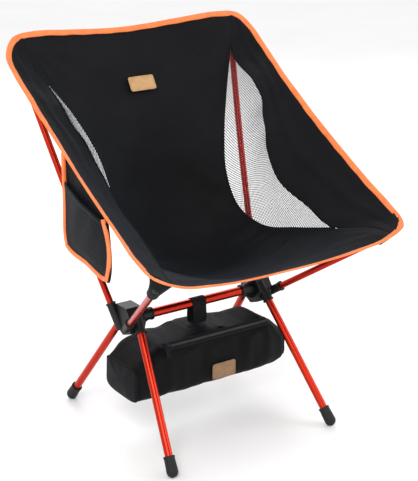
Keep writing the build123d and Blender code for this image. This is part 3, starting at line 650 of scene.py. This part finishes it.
window = np.where(np.linalg.norm(gap, axis=1) > 2.0)[0]
window_start, window_end = s_rows[window[0]], s_rows[window[-1]]
wings, nets = {}, {}
for side_name, side in SIDES:
    inner = mirrored(wing_seam, side)
    rim = mirrored(outer, side)
    inward = unit(inner - rim)
    rim = rim + inward * UNDER_TAPE
    share = np.linspace(0, 1, WING_COLUMNS)
    wing = inner[:, None] + (rim - inner)[:, None] * share[None, :, None]
    front_x, top_x = wing[0, :, 0].copy(), wing[-1, :, 0].copy()
    first, last = edge_at(front_under, front_x), edge_at(top_under, top_x)
    wing = np.concatenate([first[None], wing, last[None]])
    wing_normals = grid_normals(wing)
    if wing_normals[len(wing) // 2, 5, 2] < 0:
        wing_normals = -wing_normals
    s_wing = s_panel[:, None]
    across = share[None]
    body_fade = fade * np.clip(np.sin(np.pi * across), 0, 1) ** 0.7
    ridge = 3.4 * np.exp(-(((across - 0.52 - 0.05 * np.sin(s_wing / 70)) / 0.11) ** 2))
    ridge = ridge * np.clip(np.sin(np.pi * np.clip(s_wing / SLING_LENGTH, 0, 1)), 0, 1) ** 0.4
    hollow = -2.2 * np.sin(np.pi * across) ** 2
    pulls = 1.1 * np.sin(s_wing / 15 + 5 * across) * np.exp(-(((s_wing - 60) / 60) ** 2))
    pulls = pulls + 1.0 * np.sin(s_wing / 13 - 6 * across) * np.exp(-(((s_wing - 530) / 60) ** 2))
    small = 0.5 * np.sin(s_wing / 21 + 3 * across) * np.sin(across * 9 + s_wing / 53)
    wing = wing + wing_normals * ((ridge + hollow + pulls + small) * body_fade)[..., None]
    wing_piece = piece(
        f"{side_name}_wing_cloth",
        wing.reshape(-1, 3),
        grid_faces(len(wing), WING_COLUMNS),
        cloth,
    )
    thicken(wing_piece, SLING_CLOTH)
    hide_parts(f"{side_name}_side_wing")
    wings[side_name] = wing_piece

    # netting: diamonds with open middles
    net_points, net_faces, known = [], [], {}

    def net_point(a, b, side=side):
        low = surface_at(seam, a)
        spread = surface_at(gap, a)
        size = max(float(np.linalg.norm(spread)), 1e-6)
        v = min(max(b / size, 0.0), 1.0)
        outward = unit(np.cross(spread, surface_at(seam, a + 4) - low))
        bulge = outward * -NET_SAG * (size / NET_WIDEST) * math.sin(math.pi * v)
        return mirrored(low + spread * v + bulge, side)

    steps = int((window_end - window_start) / NET_LENGTH)
    for i in range(steps):
        a = window_start + i * NET_LENGTH
        size = float(np.linalg.norm(surface_at(gap, a)))
        for j in range(int(size / (2 * NET_HEIGHT)) + 1):
            b = (2 * j + i % 2) * NET_HEIGHT
            if b > size:
                continue
            centre = net_point(a, b)
            corners = []
            for da, db in ((-1, 0), (0, 1), (1, 0), (0, -1)):
                key = (i + da, 2 * j + i % 2 + db)
                if key not in known:
                    known[key] = len(net_points)
                    net_points.append(net_point(a + da * NET_LENGTH, b + db * NET_HEIGHT))
                corners.append(known[key])
            base = len(net_points)
            for corner in corners:
                net_points.append(centre + (net_points[corner] - centre) * NET_HOLE)
            for c in range(4):
                d = (c + 1) % 4
                net_faces.append((corners[c], corners[d], base + d, base + c))
    net = piece(
        f"{side_name}_netting", net_points, net_faces, netting_thread, smooth=False
    )
    thicken(net, NET_CLOTH)
    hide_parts(f"{side_name}_mesh_window")
    nets[side_name] = net

    # flat seam tapes where the netting meets the cloth
    for seam_name, line in (("inner", seam), ("outer", wing_seam)):
        line = mirrored(line[window[0] : window[-1] + 1], side)
        opening = unit(mirrored(gap[window[0] : window[-1] + 1], side))
        tangent = unit(np.gradient(line, axis=0))
        facing = unit(np.cross(opening, tangent)) * side
        aside = unit(np.cross(facing, tangent))
        profile = two_faced([(-2.6, 0.25), (-2.2, 1.0), (0, 1.25), (2.2, 1.0), (2.6, 0.25)])
        points, faces = sweep(line, aside, facing, profile)
        piece(f"{side_name}_{seam_name}_seam_tape", points, faces, cloth)
        rows_of = []
        for face_sign in (1, -1):
            rows_of.append(stitch_row(line + facing * 1.15 * face_sign, facing * face_sign, 3.6, 2.4))
        starts, ends, ups = (np.concatenate(parts) for parts in zip(*rows_of))
        capsules(
            f"{side_name}_{seam_name}_seam_stitches", starts, ends, ups, SEAM_THREAD, black_thread,
        )

# ---------------------------------------------------------------- orange edge tape
tape_profile = two_faced([
    (-0.35, 0.0), (-0.05, 0.85), (0.9, 1.35), (3.0, 1.5), (6.5, 1.45), (9.0, 1.30), (TAPE_WIDTH, 0.95),
])
tape_points = []
for index, (p, a, n) in enumerate(zip(edge_path, edge_inward, edge_normal)):
    pucker = 0.10 * math.sin(index * 1.9) + 0.08 * math.sin(index * 0.73 + 1)
    for u, v in tape_profile:
        reach = u + (0.35 * math.sin(index * 0.41) if u > 6 else 0)
        tape_points.append(p + a * reach + n * (v + math.copysign(pucker, v) * min(u, 8) / 8))
width = len(tape_profile)
count = len(edge_path)
tape_faces = grid_faces(count, width, wrap=True)
for c in range(width):
    d = (c + 1) % width
    tape_faces.append(((count - 1) * width + c, (count - 1) * width + d, d, c))
tape = piece("edge_tape", tape_points, tape_faces, orange)
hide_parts("left_side_binding", "right_side_binding", "front_binding", "top_binding")

ring = np.vstack([edge_path, edge_path[:1]])
ring_in = np.vstack([edge_inward, edge_inward[:1]])
ring_up = np.vstack([edge_normal, edge_normal[:1]])
stitch_rows = []
for face_sign in (1, -1):
    stitch_rows.append(stitch_row(ring + ring_in * 7.6 + ring_up * 1.42 * face_sign, ring_up * face_sign))
starts, ends, ups = (np.concatenate(parts) for parts in zip(*stitch_rows))
capsules("edge_tape_stitches", starts, ends, ups, TAPE_THREAD, orange_thread)

# ---------------------------------------------------------------- corner pockets
CORNER_ROWS = 26
CORNER_RING = 40
for side_name, side in SIDES:
    for end_name in ("front", "rear"):
        node = f"{side_name}_{end_name}_corner_pocket"
        tip_low, tip_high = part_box(f"{side_name}_{end_name}_pole_tip")
        tip = np.array((tip_low + tip_high) / 2) / MM
        if end_name == "front":
            heading = unit(mirrored((81.5, -222, 154), side))
            corner = mirrored((229, -233, 365), side)
            tangents = unit(mirrored((-34, -4, -12), side)), unit(mirrored((8, 46, 21), side))
        else:
            heading = unit(mirrored((8, 66, 180), side))
            corner = mirrored((226, 210, 643), side)
            tangents = unit(mirrored((-40, 10, 8), side)), unit(mirrored((14, -14, -22), side))
        bisector = unit(tangents[0] + tangents[1])
        wide = unit(tangents[0] - tangents[1])
        mouth = tip - heading * 22
        end = corner + bisector * 9
        first_wide = unit(wide - heading * np.dot(wide, heading))
        points = []
        for r in range(CORNER_ROWS):
            t = r / (CORNER_ROWS - 1)
            bend = (1 - t) ** 2 * mouth + 2 * t * (1 - t) * (tip + heading * 4) + t * t * end
            flat = t**1.6
            along_wide = unit(first_wide * (1 - t) + wide * t)
            through = unit(np.cross(along_wide, heading * (1 - t) + unit(end - mouth) * t))
            half_wide = 8.7 * (1 - flat) + 19.0 * flat
            half_thick = 8.7 * (1 - flat) + 1.6 * flat
            if t < 0.06:
                half_wide, half_thick = half_wide + 0.7, half_thick + 0.7
            for c in range(CORNER_RING):
                angle = math.tau * c / CORNER_RING
                crease = 1 + 0.035 * math.sin(5 * angle + 4 * t) * t * (1 - t) * 4
                points.append(
                    bend
                    + along_wide * half_wide * crease * math.cos(angle)
                    + through * half_thick * crease * math.sin(angle)
                )
        faces = grid_faces(CORNER_ROWS, CORNER_RING, wrap=True)
        faces.append(tuple((CORNER_ROWS - 1) * CORNER_RING + c for c in range(CORNER_RING)))
        sleeve = piece(f"{node}_cloth", points, faces, cloth)
        thicken(sleeve, SLEEVE_CLOTH, -1)
        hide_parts(node)

# ---------------------------------------------------------------- side pockets
POCKET_REAR_Y, POCKET_FRONT_Y = 23.0, -105.0
POCKET_REAR_FLOOR, POCKET_FRONT_FLOOR = 348.0, 327.0
POCKET_REAR_MOUTH, POCKET_FRONT_MOUTH = 457.0, 419.0
POCKET_BOW = 9.0
pocket_rows = 40
pocket_columns = 44


def pocket_line(rear_z, front_z, share):
    return front_z + (rear_z - front_z) * share


for side_name, side in SIDES:
    share = np.linspace(0, 1, pocket_columns)
    y = POCKET_FRONT_Y + (POCKET_REAR_Y - POCKET_FRONT_Y) * share
    floor = pocket_line(POCKET_REAR_FLOOR, POCKET_FRONT_FLOOR, share)
    edge_line = np.interp(y, outer[:, 1], outer[:, 2])
    sheets = {}
    mouth_line = pocket_line(POCKET_REAR_MOUTH, POCKET_FRONT_MOUTH, share)
    for layer, top_z in (("back", edge_line - 7.5), ("front", mouth_line)):
        climb = np.linspace(0, 1, pocket_rows)[:, None]
        z = floor + (top_z - floor) * climb
        yy = y - POCKET_BOW * np.sin(np.pi * np.clip(climb, 0, 1) ** 0.8) * (1 - share) ** 2
        dome = np.sin(np.pi * share)[None] ** 0.8
        if layer == "back":
            x = 237.0 + 0.8 * dome * np.sin(np.pi * climb) + 0.5 * np.sin(yy / 9 + z / 27)
        else:
            belly = 1.2 + 6.6 * dome * (0.25 + 0.75 * climb**0.7) * np.clip(climb * 5, 0, 1)
            crease = 0.55 * np.sin((yy + 0.6 * z) / 8.5) * np.sin(z / 31 + 1) * dome
            x = 238.4 + belly + crease
        grid = np.stack([np.broadcast_to(x, z.shape) * side, yy, z], axis=-1)
        sheets[layer] = grid
        made = piece(
            f"{side_name}_side_pocket_{layer}_cloth",
            grid.reshape(-1, 3),
            grid_faces(pocket_rows, pocket_columns),
            cloth,
        )
        thicken(made, POCKET_CLOTH)
        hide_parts(f"{side_name}_side_pocket_{layer}")

    # rolled hem along the mouth of the pouch
    mouth = sheets["front"][-1]
    tangent = unit(np.gradient(mouth, axis=0))
    facing = np.broadcast_to(np.array([side, 0, 0], float), mouth.shape)
    aside = unit(np.cross(facing, tangent)) * side
    hem_profile = two_faced([(-7, 0.4), (-6.6, 0.95), (-3, 1.15), (0.2, 1.1), (1.1, 0)])
    if aside[0][2] < 0:
        aside = -aside
    points, faces = sweep(mouth, aside, facing, hem_profile)
    piece(f"{side_name}_pocket_hem", points, faces, cloth)
    starts, ends, ups = stitch_row(mouth - aside * 5.4 + facing * 1.05, facing, 4.0, 2.8)
    capsules(
        f"{side_name}_pocket_hem_stitches", starts, ends, ups, SEAM_THREAD, black_thread
    )

    # orange tape folded over the rear, bottom and front edges
    low_rear = np.array([POCKET_REAR_Y, POCKET_REAR_FLOOR])
    low_front = np.array([POCKET_FRONT_Y, POCKET_FRONT_FLOOR])
    top_rear, top_front = (
        np.array([y_end, float(np.interp(y_end, outer[:, 1], outer[:, 2])) - 4])
        for y_end in (POCKET_REAR_Y, POCKET_FRONT_Y)
    )
    outline = [top_rear, top_rear * 0.5 + low_rear * 0.5, low_rear + (0, 7), low_rear + (-2.2, 1.4)]
    outline += [low_rear + (-8, -1.4), (low_rear + low_front) / 2, low_front + (8, 1.2)]
    bow = np.array([POCKET_BOW, 0.0])
    outline += [low_front + (2.2, 2.2), low_front + (-1.5, 10)]
    outline += [low_front * 0.7 + top_front * 0.3 - bow * 0.85]
    outline += [low_front * 0.4 + top_front * 0.6 - bow, top_front + bow * 0.6]
    outline = np.array(outline)
    path = resampled(np.column_stack([np.full(len(outline), 241.6 * side), outline]), 3.0)
    climb = np.clip((path[:, 2] - 335) / 90, 0, 1)
    path[:, 0] = side * (239.3 + 1.2 * climb)
    tangent = unit(np.gradient(path, axis=0))
    out = np.broadcast_to(np.array([side, 0, 0], float), path.shape)
    centre = np.array([240.0 * side, -41.0, 395.0])
    within = unit(np.cross(out, tangent))
    facing_in = np.sum(within * (centre - path), axis=1)
    within = within * np.sign(np.median(facing_in))
    band = [(-1.3, 0), (-0.9, 1.6), (0.4, 2.3), (4.0, 2.5), (6.6, 2.3), (7.0, 1.7)]
    band += [(7.0, -1.9), (6.6, -2.3), (4.0, -2.5), (0.4, -2.3), (-0.9, -1.6)]
    points, faces = sweep(path, within, out, band)
    band_piece = piece(f"{side_name}_side_pocket_tape", points, faces, orange)
    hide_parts(f"{side_name}_side_pocket_binding")
    starts, ends, ups = stitch_row(path + within * 5.4 + out * 2.35, out)
    capsules(
        f"{side_name}_pocket_tape_stitches", starts, ends, ups, TAPE_THREAD, orange_thread
    )


# ---------------------------------------------------------------- leather labels
def label_plate(
    name, centre, along, up, width, height, thick, corner, leather, thread, body, node
):
    """A leather patch with rounded corners, a soft edge and a stitched border."""
    along, up = unit(along), unit(up)
    normal = unit(np.cross(along, up))

    def outline(inset, per_corner=7):
        w, h, r = width / 2 - inset, height / 2 - inset, max(corner - inset, 0.6)
        ring = []
        corners = ((w - r, h - r, 0), (-w + r, h - r, 90), (-w + r, -h + r, 180), (w - r, -h + r, 270))
        for cx, cy, start in corners:
            for k in range(per_corner):
                angle = math.radians(start + 90 * k / (per_corner - 1))
                ring.append((cx + r * math.cos(angle), cy + r * math.sin(angle)))
        return ring

    def place(u, v, lift):
        return centre + along * u + up * v + normal * lift

    layers = ((0.0, 0.0), (0.0, thick * 0.6), (0.35, thick * 0.92), (0.9, thick))
    layers += ((1.5, thick * 0.90), (1.9, thick * 0.98))
    layers += tuple((1.9 + 2.1 * k, thick * (1 + 0.05 * math.sin(k * 2.0))) for k in range(1, 5))
    points, faces, previous = [], [], None
    for inset, lift in layers:
        base = len(points)
        points += [place(u, v, lift) for u, v in outline(inset)]
        size = len(points) - base
        if previous is not None:
            for c in range(size):
                d = (c + 1) % size
                faces.append((previous + c, previous + d, base + d, base + c))
        previous = base
    faces.append(tuple(previous + c for c in range(size)))
    faces.append(tuple(reversed(range(size))))
    made = piece(name, points, faces, leather, body)
    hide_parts(node)
    border = np.array([place(u, v, thick + 0.05) for u, v in outline(1.9, 9)])
    border = np.vstack([border, border[:1]])
    facing = np.broadcast_to(normal, border.shape)
    starts, ends, ups = stitch_row(border, facing, 2.6, 1.8)
    capsules(f"{name}_stitches", starts, ends, ups, LABEL_THREAD, thread, body)
    return made


label_low, label_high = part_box("back_label")
label_centre = np.array((label_low + label_high) / 2) / MM
label_up = np.array([0, 0.518, 0.855])
label_plate(
    "back_label_patch", label_centre + np.array([0, 0.4, -0.2]), (1, 0, 0), label_up, 50, 26, 1.7, 4.0,
    seat_leather, tan_thread, "frame", "back_label",
)

# ---------------------------------------------------------------- carry bag
bag_low, bag_high = (np.array(v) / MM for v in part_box("bag_shell"))
BAG_START, BAG_END = bag_low[0], bag_high[0]
BAG_CENTRE_Y = (bag_low[1] + bag_high[1]) / 2
BAG_ROWS, BAG_RING = 130, 128


# x, half depth, floor and top of the bag along its length, as it slumps towards both ends
BAG_FORM = np.array([
    (-150, 50.0, 71.5, 132),
    (-143, 53.0, 70.2, 137),
    (-125, 54.6, 70.0, 154),
    (-100, 55.0, 70.0, 167),
    (-60, 55.0, 70.0, 169),
    (-20, 55.0, 70.0, 170),
    (20, 55.0, 70.0, 170),
    (70, 55.0, 70.0, 168),
    (112, 54.5, 70.4, 166),
    (134, 50.0, 71.0, 154),
    (150, 47.0, 74.0, 140),
    (158, 41.0, 81.0, 129),
])
BAG_SQUARENESS = 0.40
BAG_PADDING_INSET = 2.6


def bag_point(x, angle, lift=0.0):
    half_y, floor_z, top_z = (np.interp(x, BAG_FORM[:, 0], BAG_FORM[:, k]) for k in (1, 2, 3))
    half_z, centre_z = (top_z - floor_z) / 2, (top_z + floor_z) / 2
    c, s = math.cos(angle), math.sin(angle)
    y = math.copysign(abs(c) ** BAG_SQUARENESS, c)
    z = math.copysign(abs(s) ** BAG_SQUARENESS, s)
    # the cloth hangs from the loop, drops between it and the ends, and creases along its length
    sag = -5.5 * math.sin(math.pi * min(abs(x) / 125, 1)) ** 2 * max(s, 0) ** 3
    belly = 1.6 * math.sin(math.pi * (x - BAG_START) / (BAG_END - BAG_START)) * max(-s, 0) * abs(c)
    creases = (
        1.7 * math.sin(x / 15 + 2.1 * math.sin(angle * 2)) * math.sin(angle * 3 + x / 37)
        + 1.2 * math.sin(x / 7.5 + angle * 2.3) * math.sin(x / 41 + angle)
        + 0.6 * math.sin(x / 4.1 + 3 * math.sin(angle * 3 + 1))
    )
    pull = 2.6 * math.exp(-(((abs(x) - 22 - 26 * max(1.57 - s * 1.57, 0)) / 6) ** 2)) * max(s, 0)
    at_loop = abs(x) < 24 and s > 0.75
    at_label = abs(x - 17.6) < 26 and -0.75 < s < 0.2 and c < 0
    at_zip = abs(x) < 118 and math.cos(angle - 0.75 * math.pi) > 0.90
    calm = 0.15 if at_loop or at_label or at_zip else 1.0
    below = 0.45 if s < 0 else 1.0
    inner_y, inner_z = half_y - BAG_PADDING_INSET, half_z - BAG_PADDING_INSET
    radial = np.array([0, y * half_y, z * half_z])
    out = radial / max(np.linalg.norm(radial), 1e-6)
    return (
        np.array([x, BAG_CENTRE_Y + y * inner_y, centre_z + z * inner_z + sag])
        + out * (creases * calm * below + pull * calm + belly + lift)
    )


xs = BAG_START + (BAG_END - BAG_START) * (0.5 - 0.5 * np.cos(np.pi * np.linspace(0, 1, BAG_ROWS)))
points = []
for x in xs:
    for c in range(BAG_RING):
        points.append(bag_point(float(x), math.tau * c / BAG_RING))
faces = grid_faces(BAG_ROWS, BAG_RING, wrap=True)
# domed end panels
for first, sign in ((0, -1), ((BAG_ROWS - 1) * BAG_RING, 1)):
    ring_now = list(range(first, first + BAG_RING))
    centre = np.mean([points[k] for k in ring_now], axis=0)
    for step in range(1, 9):
        shrink = 1 - step / 9
        base = len(points)
        for k in range(first, first + BAG_RING):
            offset = points[k] - centre
            sag = sign * (1 - shrink**2) * 4.0 + 0.5 * math.sin(offset[1] / 6 + offset[2] / 9) * shrink
            points.append(centre + offset * shrink + np.array([sag, 0, 0]))
        new_ring = list(range(base, base + BAG_RING))
        for c in range(BAG_RING):
            d = (c + 1) % BAG_RING
            faces.append((ring_now[c], ring_now[d], new_ring[d], new_ring[c]))
        ring_now = new_ring
    faces.append(tuple(ring_now))
bag = piece("bag_cloth", points, faces, bag_cloth, body="bag")
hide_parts("bag_shell")

# piping round each end panel
for end_name, x in (("right", BAG_START + 1.5), ("left", BAG_END - 1.5)):
    ring_path = np.array([bag_point(x, math.tau * c / 96, 0.6) for c in range(96)])
    tangent = unit(np.roll(ring_path, -1, axis=0) - np.roll(ring_path, 1, axis=0))
    axis_x = np.broadcast_to(np.array([1.0, 0, 0]), tangent.shape)
    outward = unit(np.cross(tangent, axis_x))
    round_profile = [(1.5 * math.cos(math.tau * k / 8), 1.5 * math.sin(math.tau * k / 8)) for k in range(8)]
    p, f = sweep(ring_path, axis_x, outward, round_profile, closed=True)
    piece(f"bag_{end_name}_end_piping", p, f, bag_cloth, body="bag")

# zip: tape, coil of teeth either side, and stitching
zip_low, zip_high = (np.array(v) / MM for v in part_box("bag_zip"))
zip_centre = (zip_low + zip_high) / 2
zip_out = np.array([0, -1, 1]) / math.sqrt(2)
zip_up = np.array([0, 1, 1]) / math.sqrt(2)
zip_x = np.linspace(zip_low[0], zip_high[0], 80)
zip_line = np.column_stack([zip_x, np.full(80, zip_centre[1]), np.full(80, zip_centre[2])])
zip_line = zip_line - zip_out * 0.4
flat_profile = [(-7.5, -0.5), (-7.2, 0.35), (-2.6, 0.6), (2.6, 0.6), (7.2, 0.35), (7.5, -0.5)]
zip_ups, zip_outs = (np.broadcast_to(v, zip_line.shape) for v in (zip_up, zip_out))
p, f = sweep(zip_line, zip_ups, zip_outs, flat_profile)
zip_piece = piece("bag_zip_tape", p, f, webbing, body="bag")
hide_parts("bag_zip")
tooth_starts, tooth_ends, tooth_up = [], [], []
for k, x in enumerate(np.arange(zip_low[0] + 2, zip_high[0] - 2, 1.5)):
    sign = 1 if k % 2 else -1
    base = np.array([x, zip_centre[1], zip_centre[2]]) + zip_out * 0.5
    tooth_starts.append(base - zip_up * sign * 0.5)
    tooth_ends.append(base + zip_up * sign * 2.4)
    tooth_up.append(zip_out)
capsules(
    "bag_zip_teeth", np.array(tooth_starts), np.array(tooth_ends), np.array(tooth_up), 0.62, zip_plastic,
    "bag",
)
for row_name, offset in (("upper", 5.9), ("lower", -5.9)):
    path = zip_line + zip_up * offset + zip_out * 0.5
    starts, ends, ups = stitch_row(path, np.broadcast_to(zip_out, path.shape), 3.6, 2.5)
    capsules(f"bag_zip_{row_name}_stitches", starts, ends, ups, ZIP_THREAD, black_thread, "bag")

# hanging loop of webbing round the crossbar
strap_low, strap_high = (np.array(v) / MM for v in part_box("bag_strap"))
loop_radius = (strap_high[1] - strap_low[1]) / 2 - 0.8
bar_z = strap_high[2] - loop_radius - 0.8
route = [(0, strap_low[2] + 0.9), (-loop_radius + 1.5, strap_low[2] + 1.0)]
route += [(-loop_radius, strap_low[2] + 4), (-loop_radius, bar_z - 8), (-loop_radius, bar_z)]
over_bar = np.linspace(0.3, math.pi - 0.3, 11)
route += [(-loop_radius * math.cos(a), bar_z + loop_radius * math.sin(a)) for a in over_bar]
route += [(loop_radius, bar_z), (loop_radius, bar_z - 8), (loop_radius, strap_low[2] + 4)]
route += [(loop_radius - 1.5, strap_low[2] + 1.0)]
route = np.array([(0.0, y + BAG_CENTRE_Y, z) for y, z in route])
strap_path = resampled(route, 1.2, closed=True)
tangent = unit(np.roll(strap_path, -1, axis=0) - np.roll(strap_path, 1, axis=0))
axis_x = np.broadcast_to(np.array([1.0, 0, 0]), tangent.shape)
outward = unit(np.cross(tangent, axis_x))
ribs = [(u, 0.62 + 0.12 * math.cos(u * math.tau / 2.3)) for u in np.linspace(-12.6, 12.6, 45)]
strap_profile = two_faced([(-13.6, 0.0), (-13.3, 0.5)] + ribs + [(13.3, 0.5), (13.6, 0.0)])
p, f = sweep(strap_path, axis_x, outward, strap_profile, closed=True)
strap = piece("bag_hanging_loop", p, f, webbing, body="bag")
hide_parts("bag_strap")

tag_low, tag_high = (np.array(v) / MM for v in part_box("bag_label"))
tag_centre = (tag_low + tag_high) / 2
label_plate(
    "bag_label_patch", tag_centre + np.array([0, 0.8, 0]), (1, 0, 0), (0, 0, 1), 47, 28, 1.6, 4.5,
    bag_leather, tan_thread, "bag", "bag_label",
)

# ---------------------------------------------------------------- an empty loop over both sides
for side_name, side in SIDES:
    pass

# ---------------------------------------------------------------- floor and light
floor_data = bpy.data.meshes.new("floor")
floor_data.from_pydata([(-6, -6, 0), (6, -6, 0), (6, 6, 0), (-6, 6, 0)], [], [(0, 1, 2, 3)])
floor = bpy.data.objects.new("floor", floor_data)
scene.collection.objects.link(floor)
floor.location.z = -0.0005
floor_graph = Graph("floor_paper")
paper_shades = [(0.3, (0.90, 0.90, 0.90)), (0.7, (0.93, 0.93, 0.93))]
floor_graph.colour(floor_graph.ramp(floor_graph.noise(3), paper_shades))
floor_graph.set(Roughness=0.9)
floor_data.materials.append(floor_graph.material)

world = bpy.data.worlds.new("studio")
world.use_nodes = True
world.node_tree.nodes["Background"].inputs[0].default_value = (1, 1, 1, 1)
world.node_tree.nodes["Background"].inputs[1].default_value = 1.0
scene.world = world


def area_light(name, place, target, size, watts, tint=(1, 1, 1)):
    data = bpy.data.lights.new(name, "AREA")
    data.shape = "RECTANGLE"
    data.size, data.size_y = size
    data.energy = watts
    data.color = tint
    made = bpy.data.objects.new(name, data)
    scene.collection.objects.link(made)
    made.location = place
    made.rotation_mode = "QUATERNION"
    made.rotation_quaternion = (Vector(place) - Vector(target)).to_track_quat("Z", "Y")
    return made


area_light("key", (-1.6, -1.5, 2.0), (0, 0, 0.35), (1.0, 1.4), 34)
area_light("fill", (1.9, -1.4, 1.2), (0, 0, 0.35), (1.2, 1.4), 14)
area_light("back", (0.8, 1.9, 1.8), (0, 0, 0.4), (1.4, 1.0), 22)
